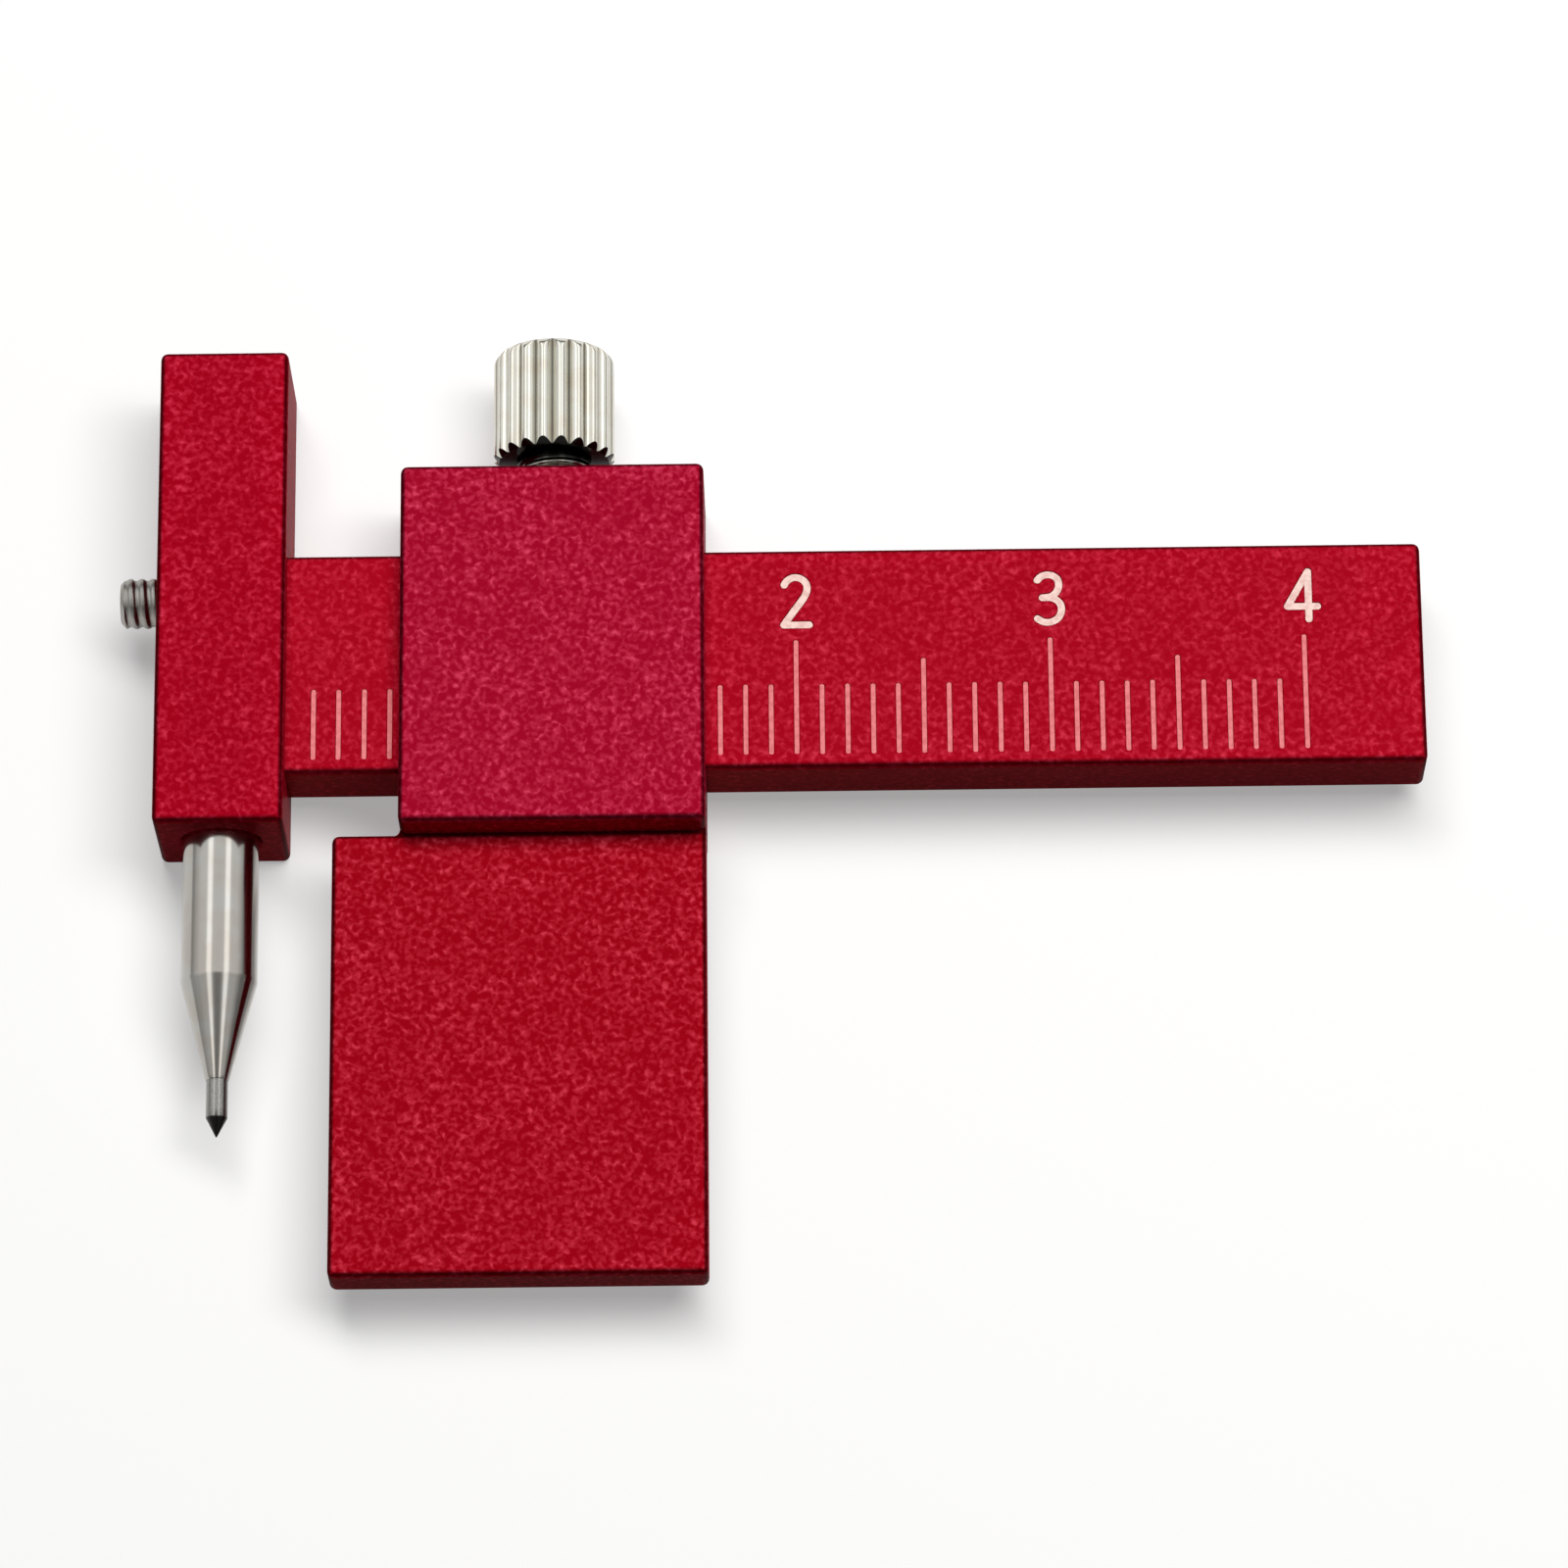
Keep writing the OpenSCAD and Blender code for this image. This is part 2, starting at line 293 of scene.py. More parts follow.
def turned_tree():
    """Tree that turns an outline round the Z axis, with straight ridges and a thread.

    The input's points are (radius, 0, height), in order. A point of the result lies at the
    smallest of the outline's radius, the ridged radius and the threaded radius.
    """
    crest, root = 0.12, 0.92    # shares of half a pitch where a thread's flank starts and ends
    seam = 0.0008    # the first and the last column become one, as they are nearer than this
    make = ShapeTree("turned_part", ["Steps", "Ridges"], [
        "Ridge Radius", "Ridge Height", "Thread Radius", "Thread Depth", "Thread Pitch",
        "Thread Start", "Thread End"])
    (outline, steps, ridges, ridge_radius, ridge_height, thread_radius, thread_depth, pitch,
     start, end, *_) = make.given
    rows = make.part("AttributeDomainSize", {0: outline})
    grid = make.part("MeshGrid", {"Vertices X": make.plus(steps, 1.0), "Vertices Y": rows})
    index = make.part("InputIndex")
    column = make.result("FLOOR", make.over(make.plus(index, 0.5), rows))
    row = make.minus(index, make.times(column, rows))
    sampled = make.part("SampleIndex", {
        "Geometry": outline, "Value": make.part("InputPosition"),
        "Index": make.result("ROUND", row)}, data_type="FLOAT_VECTOR", domain="POINT")
    radius, _, height = make.separate(sampled)
    turn = make.over(column, steps)
    angle = make.times(turn, 2 * math.pi)

    wave = make.result("COSINE", make.times(angle, make.times(ridges, 0.5)))
    valley = make.minus(1.0, make.absolute(wave))
    ridged = make.minus(ridge_radius, make.times(valley, ridge_height))

    travel = make.result("FRACT", make.minus(make.over(height, pitch), turn))
    groove = make.ramp(make.absolute(make.blend(travel, 2.0, -1.0)), crest, root)
    run_in = make.ramp(height, start, make.plus(start, pitch))
    run_out = make.ramp(height, make.minus(end, pitch), end, 1.0, 0.0)
    depth = make.times(make.times(run_in, run_out), make.times(groove, thread_depth))
    within = make.times(make.result("GREATER_THAN", height, start),
                        make.result("LESS_THAN", height, end))
    threaded = make.plus(make.minus(thread_radius, depth),
                         make.times(make.minus(1.0, within), NOWHERE))

    final = make.least(radius, make.least(ridged, threaded))
    target = make.combine(make.times(final, make.result("COSINE", angle)),
                          make.times(final, make.result("SINE", angle)), height)
    moved = make.part("SetPosition", {"Geometry": grid, "Position": target})
    return make.close(make.part("MergeByDistance", {"Geometry": moved, "Distance": seam}))


def stroke_tree():
    """Tree that turns drawn lines into closed strokes with round ends, of one union."""
    make = ShapeTree("engraved_strokes", [], ["Width", "Bottom", "Top", "Step"])
    drawn, width, bottom, top, step, *_ = make.given
    curve = make.part("MeshToCurve", {"Mesh": drawn})
    smooth = make.part("CurveSplineType", {"Curve": curve}, spline_type="CATMULL_ROM")
    even = make.part("ResampleCurve", {"Curve": smooth, "Length": step}, mode="LENGTH")
    level = make.part("SetCurveNormal", {"Curve": even}, mode="Z_UP")
    tall = make.minus(top, bottom)
    section = make.part("CurvePrimitiveQuadrilateral", {"Width": width, "Height": tall},
                        mode="RECTANGLE")
    bars = make.part("CurveToMesh", {"Curve": level, "Profile Curve": section, "Fill Caps": True})
    disc = make.part("MeshCylinder", {
        "Vertices": 24, "Radius": make.times(width, 0.5), "Depth": tall})
    discs = make.part("InstanceOnPoints", {
        "Points": even, "Selection": make.part("CurveEndpointSelection"), "Instance": disc})
    joined = make.add("GeometryNodeJoinGeometry", {0: bars})
    make.give(joined.inputs[0], make.part("RealizeInstances", {"Geometry": discs}))
    union = make.part("MeshBoolean", {"Mesh 2": joined.outputs[0], "Self Intersection": True},
                      operation="UNION", solver="EXACT")
    middle = make.times(make.plus(top, bottom), 0.5)
    return make.close(make.part("Transform", {
        "Geometry": union, "Translation": make.combine(0.0, 0.0, middle)}))


def graduation_tree(strokes):
    """Tree that sets out the graduations and draws each as an engraved stroke."""
    make = ShapeTree("graduations", ["Count"], [
        "Pitch", "Unit Line", "Fifth Line", "Tenth Line", "Unevenness", "Width", "Bottom", "Top"])
    _, count, pitch, unit, fifth, tenth, unevenness, width, bottom, top, material, _ = make.given
    step = make.combine(pitch, 0.0, 0.0)
    points = make.part("MeshLine", {"Count": count, "Start Location": step, "Offset": step})
    number = make.plus(make.part("InputIndex"), 1.0)
    tall = unit
    for every, longer in ((5.0, fifth), (10.0, tenth)):
        chosen = make.result("LESS_THAN", make.result("MODULO", number, every), 0.5)
        tall = make.part("Switch", {"Switch": chosen, "False": tall, "True": longer},
                         input_type="FLOAT")
    drift = make.made("FunctionNodeRandomValue", {
        0: (-1.0, -1.0, 0.0), 1: (1.0, 1.0, 0.0), "Seed": 4}, data_type="FLOAT_VECTOR")
    spread = make.combine(unevenness, unevenness, 0.0)
    rise = make.combine(0.0, make.times(width, 0.5), 0.0)
    shift = make.vector("ADD", make.vector("MULTIPLY", drift, spread), rise)
    moved = make.part("SetPosition", {"Geometry": points, "Offset": shift})
    line = make.part("MeshLine", {"Count": 2, "Offset": (0.0, 1.0, 0.0)})
    lines = make.part("InstanceOnPoints", {
        "Points": moved, "Instance": line,
        "Scale": make.combine(1.0, make.minus(tall, width), 1.0)})
    real = make.part("RealizeInstances", {"Geometry": lines})
    return make.close(make.part("Group", node_tree=strokes, inputs={
        "Geometry": real, "Width": width, "Bottom": bottom, "Top": top, "Step": 1.0,
        "Material": material}))


# Mesh work, in millimetres

def mesh_from(points, edges=()):
    """A mesh of points and edges."""
    mesh = bpy.data.meshes.new("work")
    mesh.from_pydata(list(points), list(edges), [])
    return mesh


def mesh_from_bmesh(work):
    """A mesh from a bmesh, with its faces turned outwards."""
    bmesh.ops.recalc_face_normals(work, faces=work.faces)
    mesh = bpy.data.meshes.new("work")
    work.to_mesh(mesh)
    work.free()
    return mesh


def evaluated(obj):
    """The object's mesh with its modifiers applied."""
    bpy.context.view_layer.update()
    graph = bpy.context.evaluated_depsgraph_get()
    return bpy.data.meshes.new_from_object(obj.evaluated_get(graph))


def helper(mesh):
    """A working object for a mesh."""
    obj = bpy.data.objects.new("work", mesh)
    bpy.context.collection.objects.link(obj)
    return obj


def from_tree(tree, mesh, values):
    """The mesh that a Geometry Nodes tree makes from a mesh and its named values."""
    obj = helper(mesh)
    modifier = obj.modifiers.new("shape", "NODES")
    modifier.node_group = tree
    names = {item.name: item.identifier for item in tree.interface.items_tree}
    for name, value in values.items():
        modifier[names[name]] = value
    work = bmesh.new()
    work.from_mesh(evaluated(obj))
    bpy.data.objects.remove(obj)
    bmesh.ops.remove_doubles(work, verts=work.verts, dist=TOUCHING)
    return mesh_from_bmesh(work)


def rounded(work):
    """The mesh of a closed shape, with the outer edges' radius on all of its edges."""
    radius = bpy.context.scene.ruler.anodised.edge_radius * MM
    bmesh.ops.bevel(work, geom=work.edges[:], offset=radius, segments=4, profile=0.5,
                    affect="EDGES", clamp_overlap=True)
    return mesh_from_bmesh(work)


def block(low, high, ended=mesh_from_bmesh):
    """A box between two corners, with plain edges where nothing else ends it."""
    low, high = Vector(low), Vector(high)
    work = bmesh.new()
    bmesh.ops.create_cube(work, size=1.0)
    bmesh.ops.scale(work, vec=high - low, verts=work.verts)
    bmesh.ops.translate(work, vec=(high + low) / 2, verts=work.verts)
    return ended(work)


def plate(outline, low, high):
    """A flat outline made thick from one height to another, with rounded edges."""
    work = bmesh.new()
    face = work.faces.new([work.verts.new((x, y, low)) for x, y in outline])
    raised = bmesh.ops.extrude_face_region(work, geom=[face])["geom"]
    moved = [part for part in raised if isinstance(part, bmesh.types.BMVert)]
    bmesh.ops.translate(work, vec=(0, 0, high - low), verts=moved)
    bmesh.ops.recalc_face_normals(work, faces=work.faces)
    return rounded(work)


def lathe(outline, steps):
    """A closed turned solid round the Z axis from (radius, height) points, for cutting."""
    work = bmesh.new()
    turns = [2 * math.pi * i / steps for i in range(steps)]
    rings = [[work.verts.new((radius * math.cos(turn), radius * math.sin(turn), height))
              for turn in (turns if radius else turns[:1])] for radius, height in outline]
    for lower, upper in zip(rings, rings[1:]):
        for i in range(steps):
            corners = [ring[j % len(ring)] for ring, j in
                       ((lower, i), (lower, i + 1), (upper, i + 1), (upper, i))]
            work.faces.new(list(dict.fromkeys(corners)))
    return mesh_from_bmesh(work)


def placed(mesh, axis, origin):
    """The mesh with its Z axis turned to an axis and moved to an origin."""
    turn = Vector((0, 0, 1)).rotation_difference(Vector(axis)).to_matrix().to_4x4()
    mesh.transform(Matrix.Translation(Vector(origin)) @ turn)
    return mesh


def bore(radius, depth, axis, start, mouth, steps=96):
    """A cutter for a bore that goes in along an axis, with a small bevel round its mouth."""
    outline = [(0, -PAST), (radius + mouth, -PAST), (radius + mouth, 0), (radius, mouth),
               (radius, depth), (0, depth)]
    return placed(lathe(outline, steps), axis, start)


def cut_from(mesh, *cutters):
    """The mesh with the cutters taken out of it."""
    obj, tools = helper(mesh), [helper(cutter) for cutter in cutters]
    for tool in tools:
        modifier = obj.modifiers.new("cut", "BOOLEAN")
        modifier.operation = "DIFFERENCE"
        modifier.solver = "EXACT"
        modifier.object = tool
    result = evaluated(obj)
    for used in (obj, *tools):
        bpy.data.objects.remove(used)
    return result


def finish(name, mesh, material, body, slot, *nodes):
    """Makes a finished piece: in metres, smooth where it curves, riding on its body."""
    mesh.transform(Matrix.Scale(1 / MM, 4))
    mesh.materials.clear()
    mesh.materials.append(material)
    mesh.shade_smooth()
    mesh.set_sharp_from_angle(angle=SMOOTH_ANGLE)
    obj = helper(mesh)
    obj.name = name
    obj.modifiers.new("flat faces", "WEIGHTED_NORMAL").keep_sharp = True
    shaded = evaluated(obj)
    obj.modifiers.clear()
    obj.data = shaded
    shaded.name = name
    if not shaded.polygons:
        raise RuntimeError(f"{name} came out empty")
    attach(obj, body)
    if nodes:
        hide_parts(*nodes)


# Materials

def opaque(colour, share=1.0):
    """A share of a colour, with full strength in its fourth value."""
    return (*(share * part for part in colour), 1.0)


def lighter(colour, step):
    """A colour that looks lighter by a step, which is even in all three parts."""
    return opaque((part ** (1 / 2.4) + step) ** 2.4 for part in colour)


class Finish(TreeMaker):
    """A material in the making, with its shader and the place on the piece in millimetres."""

    def __init__(self, name):
        self.material = bpy.data.materials.new(name)
        self.material.use_nodes = True
        super().__init__(self.material.node_tree)
        self.shader = self.tree.nodes["Principled BSDF"]
        self.place = self.scaled(self.add("ShaderNodeTexCoord").outputs["Object"], MM)

    def bump(self, height, strength, distance):
        """A surface bent by a height, over a distance in millimetres."""
        return self.made("ShaderNodeBump", {
            "Strength": strength, "Distance": distance / MM, "Height": height})

    def surface(self, **values):
        """The material, once the shader has its inputs, with _ for spaces in their names."""
        for name, value in values.items():
            self.give(self.shader.inputs[name.replace("_", " ")], value)
        return self.material

    def edges(self, low, high, width):
        """1 on the edges of a box and 0 from a width on: the second distance to its faces."""
        below, above = (self.vector("ABSOLUTE", self.vector(
            "SUBTRACT", self.place, tuple(corner))) for corner in (low, high))
        x, y, z = self.separate(self.vector("MINIMUM", below, above))
        least = self.least(x, self.least(y, z))
        most = self.most(x, self.most(y, z))
        total = self.plus(x, self.plus(y, z))
        return self.ramp(self.minus(total, self.plus(least, most)), width, 0.0)


# How strongly the grain shows on each anodised piece
GRAIN = {"head": 0.84, "beam": 0.78, "slider": 1.04, "fence": 1.04}


def anodised(piece, low, high):
    """Red anodising on blasted aluminium: fine light grain, and painted shade on the rounded
    edges.

    The grain is of specks, lighter glints in them and small pits. It is denser in soft clouds
    and near the edges of the box between two corners.
    """
    settings = bpy.context.scene.ruler.anodised
    colour = getattr(settings, piece + "_colour")
    step = GRAIN[piece] * settings.grain_step
    fineness = 1 / (settings.grain_size * MM)
    make = Finish("red anodising, " + piece)
    askew = make.made("ShaderNodeMapping", {"Vector": make.place, "Rotation": (0.5, 0.35, 0.2)})
    grain = make.noise(askew, fineness, 0.8, 0.4)
    fine = make.noise(askew, 2.1 * fineness, 1.0)
    clouds = make.ramp(make.noise(make.place, 0.28, 2.0), 0.35, 0.65, 0.68, 1.0)
    near_edge = make.times(make.edges(low, high, 1.2), 0.2)
    dense = make.plus(clouds, near_edge, clamp=True)
    specks = make.times(make.ramp(grain, 0.38, 0.68), dense)
    glints = make.times(make.ramp(grain, 0.62, 0.78), dense)
    red = make.mix(specks, opaque(colour), lighter(colour, step))
    red = make.mix(glints, red, lighter(colour, 1.8 * step))
    pits = make.ramp(fine, 0.30, 0.50, 0.92, 1.0)
    # painted shade: the colour darkens to a fifth on the rounded edges
    edge_shade = make.ramp(make.edges(low, high, settings.edge_radius * MM), 0.0, 0.75, 1.0, 0.2)
    return make.surface(
        Base_Color=make.scaled(red, make.times(pits, edge_shade)), Metallic=0.16,
        Roughness=make.blend(fine, 0.16, 0.26), Normal=make.bump(grain, 0.35, 0.02),
        Specular_IOR_Level=0.004, Specular_Tint=(0.45, 0.05, 0.06, 1.0))


def turned_metal(name, colour, roughness, axis, rings, shade=None):
    """Turned metal: fine rings round its axis (0 for X, 1 for Y) and slight warm stains.

    A shade is a function that makes a painted shade, which the colour is multiplied by.
    """
    make = Finish(name)
    along = make.separate(make.place)[axis]
    ring = make.made("ShaderNodeTexNoise", {"W": along, "Scale": rings, "Detail": 3.0},
                     noise_dimensions="1D")
    stain = make.ramp(make.noise(make.place, 0.9, 2.0), 0.35, 0.65)
    stained = [share * part for share, part in zip((0.95, 0.91, 0.875), colour)]
    base = make.mix(stain, opaque(stained), opaque(colour))
    if shade:
        base = make.scaled(base, shade(make))
    return make.surface(Base_Color=base, Roughness=make.blend(ring, 0.04, roughness - 0.02),
                        Normal=make.bump(ring, 0.1, 0.004), Metallic=1.0)


def knurl_shade(axis, radius, depth, foot, bevel, stud):
    """Painted shade on the thumb screw: darker valleys, and a dark underside, bevel and neck.

    Its head has an axis (x, z), a radius, a depth of its valleys and a foot with a bevel. The
    stud is free of the painted shade again where the slider's hole holds it.
    """
    def shade(make):
        flat = make.vector("MULTIPLY", make.vector(
            "SUBTRACT", make.place, (axis[0], 0.0, axis[1])), (1.0, 0.0, 1.0))
        reach = make.length(flat)
        # painted shade in the knurl's valleys: the colour falls to 0.45 towards their bottoms
        valley_shade = make.ramp(reach, radius - depth, radius - 0.45 * depth, 0.45, 1.0)
        rise = make.minus(make.separate(make.place)[1], foot)
        over_bevel = make.minus(rise, make.minus(reach, radius - bevel))
        # painted shade under the head: the colour falls to 0.04 on its underside, foot bevel and
        # neck
        underside_shade = make.ramp(make.least(rise, over_bevel), 0.01, 0.04, 0.04, 1.0)
        # the painted shade lifts off the stud from 0.15 to 0.6 mm below the head's foot
        held = make.times(make.ramp(rise, -0.15, -0.6, 0.0, 1.0),
                          make.result("LESS_THAN", reach, stud + 0.05))
        return make.times(valley_shade, make.most(underside_shade, held))
    return shade


def painted(kind, colour):
    """Paint wiped into engraving: uneven, with the red showing through in places."""
    red = bpy.context.scene.ruler.anodised.beam_colour
    make = Finish("paint, " + kind)
    blot = make.noise(make.place, 4.0, 3.0)
    thin = [0.75 * part + 0.25 * under for part, under in zip(colour, red)]
    base = make.mix(make.ramp(blot, 0.35, 0.6), opaque(thin), opaque(colour))
    return make.surface(Base_Color=base, Normal=make.bump(blot, 0.2, 0.01), Roughness=0.6,
                        Specular_IOR_Level=0.2)


def carbide(colour, shoulder):
    """Carbide: a grey ground rod whose point, below a height, is nearly black."""
    make = Finish("ground carbide")
    grit = make.noise(make.place, 14.0, 3.0)
    rod = make.mix(make.ramp(grit, 0.3, 0.7), opaque(colour, 0.85), opaque(colour, 1.1))
    above = make.ramp(make.separate(make.place)[1], shoulder - 0.05, shoulder + 0.02)
    return make.surface(Base_Color=make.mix(above, opaque(colour, 0.12), rod), Metallic=1.0,
                        Roughness=make.blend(grit, 0.08, 0.20),
                        Normal=make.bump(grit, 0.15, 0.005))


# The anodised pieces

class RULER_OT_head_block(bpy.types.Operator):
    """Builds the head block with its bore, set screw hole and beam socket"""
    bl_idname = "ruler.head_block"
    bl_label = "Head block"

    def execute(self, context):
        head, beam = Box("head_block"), Box("beam")
        shank, screw = Box("scriber_shank"), Box("set_screw")
        depth = shank.high.y + SPARE_BORE - head.low.y
        scriber_bore = bore(shank.size.x / 2 + BORE_GAP, depth, Y_AXIS,
                            (shank.mid.x, head.low.y, head.mid.z), mouth=0.12)
        screw_hole = bore(screw.size.y / 2 + BORE_GAP, shank.mid.x - head.low.x, X_AXIS,
                          (head.low.x, screw.mid.y, head.mid.z), mouth=0.1, steps=64)
        socket = block(beam.low, (head.high.x + PAST, beam.high.y, beam.high.z))
        mesh = cut_from(block(head.low, head.high, rounded), scriber_bore, screw_hole, socket)
        finish("head_block_body", mesh, anodised("head", head.low, head.high), "frame",
               "anodised_red", "head_block")
        return {"FINISHED"}


# Centre lines of the numerals' strokes, from the middle of each numeral's foot
NUMERALS = {
    1: [[(-0.349, 1.744), (-0.116, 1.944), (0.058, 2.166)], [(0.058, 2.166), (0.058, 0.14)]],
    2: [[(-0.451, 1.839), (-0.339, 2.018), (-0.078, 2.155), (0.213, 2.102), (0.417, 1.891),
         (0.446, 1.617), (0.349, 1.343), (0.145, 1.037), (-0.165, 0.604), (-0.475, 0.145)],
        [(-0.475, 0.145), (0.524, 0.145)]],
    3: [[(-0.451, 1.923), (-0.301, 2.071), (-0.078, 2.144), (0.165, 2.102), (0.359, 1.923),
         (0.388, 1.628), (0.272, 1.374), (0.058, 1.216), (-0.262, 1.174)],
        [(-0.262, 1.174), (0.097, 1.163), (0.349, 1.026), (0.475, 0.794), (0.456, 0.509),
         (0.301, 0.267), (0.039, 0.14), (-0.242, 0.151), (-0.466, 0.288)]],
    4: [[(0.233, 2.144), (-0.601, 0.678)], [(-0.601, 0.678), (0.582, 0.678)],
        [(0.233, 2.144), (0.233, 0.14)]],
}
NUMERAL_STEP = 0.07    # distance between points along a numeral's stroke
CUTTER_RISE = 0.3    # how far the engraving's cutters stand out of the face


def numeral_lines(zero, foot, pitch):
    """The strokes of all numerals, each over its tenth graduation, as a mesh of lines."""
    points, edges = [], []
    for number, strokes in NUMERALS.items():
        for stroke in strokes:
            start = len(points)
            points += [(zero + 10 * pitch * number + x, foot + y, 0) for x, y in stroke]
            edges += [(i, i + 1) for i in range(start, len(points) - 1)]
    return mesh_from(points, edges)


def engraving(kind, bottom, top, spread, material):
    """The graduations ("lines") or the numerals as solid strokes between two depths.

    A spread makes the strokes wider on both sides, which gives the groove round the paint.
    """
    scale = bpy.context.scene.ruler.scale
    groups = bpy.data.node_groups
    strokes = groups.get("engraved_strokes") or stroke_tree()
    marks, pitch = Box("scale_marks"), scale.pitch * MM
    zero = marks.low.x + scale.line_width * MM / 2 - pitch
    given = {"Bottom": bottom, "Top": top, "Material": material}
    if kind == "lines":
        tree = groups.get("graduations") or graduation_tree(strokes)
        lines = mesh_from([(0, 0, 0)])
        place, width = (zero, marks.low.y, marks.high.z), scale.line_width
        given.update({"Count": scale.count, "Pitch": pitch,
                      "Unit Line": scale.short_line * MM, "Fifth Line": scale.middle_line * MM,
                      "Tenth Line": scale.long_line * MM, "Unevenness": scale.unevenness * MM})
    else:
        foot = Box("beam").mid.y + scale.numeral_rise * MM
        tree, lines = strokes, numeral_lines(zero, foot, pitch)
        place, width = (0, 0, marks.high.z), scale.numeral_width
        given["Step"] = NUMERAL_STEP
    mesh = from_tree(tree, lines, {**given, "Width": width * MM + 2 * spread})
    mesh.transform(Matrix.Translation(place))
    return mesh


class RULER_OT_beam(bpy.types.Operator):
    """Builds the beam and engraves the scale into it"""
    bl_idname = "ruler.beam"
    bl_label = "Beam"

    def execute(self, context):
        scale, beam = context.scene.ruler.scale, Box("beam")
        depth, gap = scale.engraving_depth * MM, scale.groove_gap * MM
        material = anodised("beam", beam.low, beam.high)
        cutters = [engraving(kind, -depth, CUTTER_RISE, gap, material)
                   for kind in ("lines", "numerals")]
        mesh = cut_from(block(beam.low, beam.high, rounded), *cutters)
        finish("beam_bar", mesh, material, "frame", "anodised_red", "beam")
        return {"FINISHED"}


class RULER_OT_scale_paint(bpy.types.Operator):
    """Fills the engraved graduations and numerals with paint"""
    bl_idname = "ruler.scale_paint"
    bl_label = "Scale paint"

    def execute(self, context):
        scale = context.scene.ruler.scale
        depth, sink = scale.engraving_depth * MM, scale.paint_sink * MM
        for name, kind, colour, nodes in (
                ("scale_lines", "lines", scale.line_colour, ("scale_marks",)),
                ("scale_numerals", "numerals", scale.numeral_colour, ())):
            material = painted(kind, colour)
            mesh = engraving(kind, -depth, -sink, 0.0, material)
            finish(name, mesh, material, "frame", "scale_paint", *nodes)
        return {"FINISHED"}


class RULER_OT_slider(bpy.types.Operator):
    """Builds the slider with its channel, the fence's groove and the stud's hole"""
    bl_idname = "ruler.slider"
    bl_label = "Slider"

    def execute(self, context):
        slider, beam = Box("slider_body"), Box("beam")
        fence, pad = Box("fence_plate"), Box("pressure_pad")
        left, right, gap = slider.low.x - PAST, slider.high.x + PAST, CHANNEL_GAP
        channel = block((left, beam.low.y - gap, beam.low.z - gap),
                        (right, beam.high.y + gap, beam.high.z + gap))
        groove = block((left, slider.low.y - PAST, fence.low.z),
                       (right, fence.high.y, fence.high.z))
        hole = bore(pad.size.x / 2 + PAD_GAP + BORE_GAP, slider.high.y - beam.high.y + PAST,
                    (0, -1, 0), (pad.mid.x, slider.high.y, slider.mid.z), mouth=0.15)
        mesh = cut_from(block(slider.low, slider.high, rounded), channel, groove, hole)
        finish("slider_block", mesh, anodised("slider", slider.low, slider.high), "slider",
               "anodised_red", "slider_body")
        return {"FINISHED"}


class RULER_OT_fence(bpy.types.Operator):
    """Builds the fence plate with the tongue that the slider's groove holds"""
    bl_idname = "ruler.fence"
    bl_label = "Fence plate"

    def execute(self, context):
        low, high = Box("fence_plate").low, Box("fence_plate").high
        left, shoulder, _ = Box("slider_body").low
        outline = [(low.x, low.y), (high.x, low.y), (high.x, high.y), (left, high.y),
                   (left, shoulder), (low.x, shoulder)]
        finish("fence_plate_body", plate(outline, low.z, high.z),
               anodised("fence", low, (high.x, shoulder, high.z)), "slider", "anodised_red",
               "fence_plate")
        return {"FINISHED"}


# The turned pieces, from outlines of (radius, height) points

def arc(middle, radius, steps):
    """Points on a quarter circle, from its outermost to its highest point."""
    turns = [math.pi / 2 * i / steps for i in range(steps + 1)]
    return [(middle[0] + radius * math.cos(turn), middle[1] + radius * math.sin(turn))
            for turn in turns]


def path(*stops):
    """An outline through points. A whole number cuts the line to the next one into steps."""
    points, steps = [stops[0]], 1
    for stop in stops[1:]:
        if isinstance(stop, int):
            steps = stop
        else:
            points += [tuple(a + (b - a) * i / steps for a, b in zip(points[-1], stop))
                       for i in range(1, steps + 1)]
            steps = 1
    return points


def turned(outline, material, **values):
    """The mesh that the turning tree makes from an outline."""
    tree = bpy.data.node_groups.get("turned_part") or turned_tree()
    given = {"Steps": 128, "Ridges": 0, "Ridge Radius": NOWHERE, "Ridge Height": 0.0,
             "Thread Radius": NOWHERE, "Thread Depth": 0.0, "Thread Pitch": 1.0,
             "Thread Start": NOWHERE, "Thread End": NOWHERE, "Material": material}
    given.update({name.replace("_", " "): value for name, value in values.items()})
    return from_tree(tree, mesh_from((radius, 0, height) for radius, height in outline), given)


